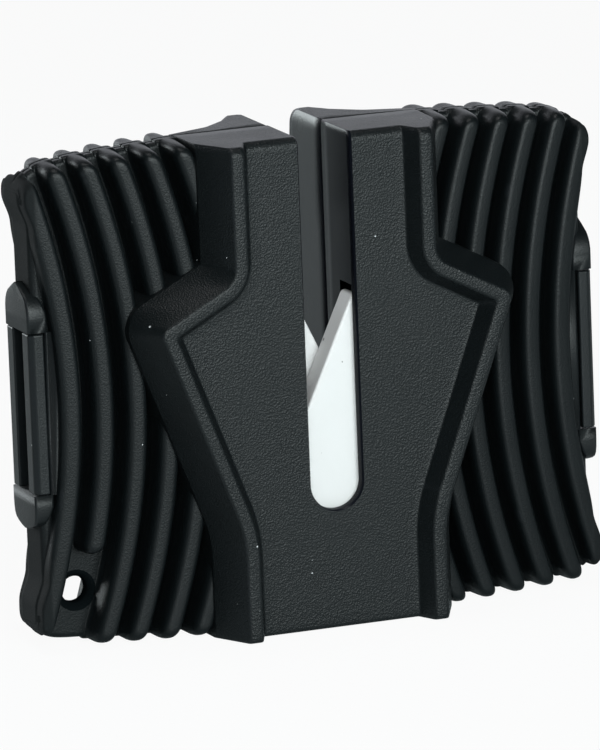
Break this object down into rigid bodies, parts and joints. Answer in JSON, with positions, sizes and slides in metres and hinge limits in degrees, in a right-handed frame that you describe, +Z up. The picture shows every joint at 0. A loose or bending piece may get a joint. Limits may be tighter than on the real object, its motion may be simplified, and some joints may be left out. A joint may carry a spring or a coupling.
{
  "type": "pocket knife sharpener",
  "caption": "Flat ribbed plastic case split into a front and a rear shell, with an open slot in which crossed ceramic plates form a V that a blade is drawn through.",
  "frame": {"origin": "on the flat base of the case, in the middle of its width and on the parting plane of the two shells", "axes": "+Z up out of the slot's mouth, +X to the right along the case's length seen from the front, the front faces -Y"},
  "size_m": [0.0606, 0.0204, 0.05],
  "materials": {
    "case_plastic": "fine moulded grain, satin",
    "bar_plastic": "satin",
    "ceramic": "smooth sintered ceramic, matt white"
  },
  "bodies": {
    "root": {"front_shell": "case_plastic", "rear_shell": "case_plastic", "front_ceramic_plate": "ceramic", "rear_ceramic_plate": "ceramic", "left_front_end_bar": "bar_plastic", "left_rear_end_bar": "bar_plastic", "right_front_end_bar": "bar_plastic", "right_rear_end_bar": "bar_plastic"}
  },
  "joints": []
}
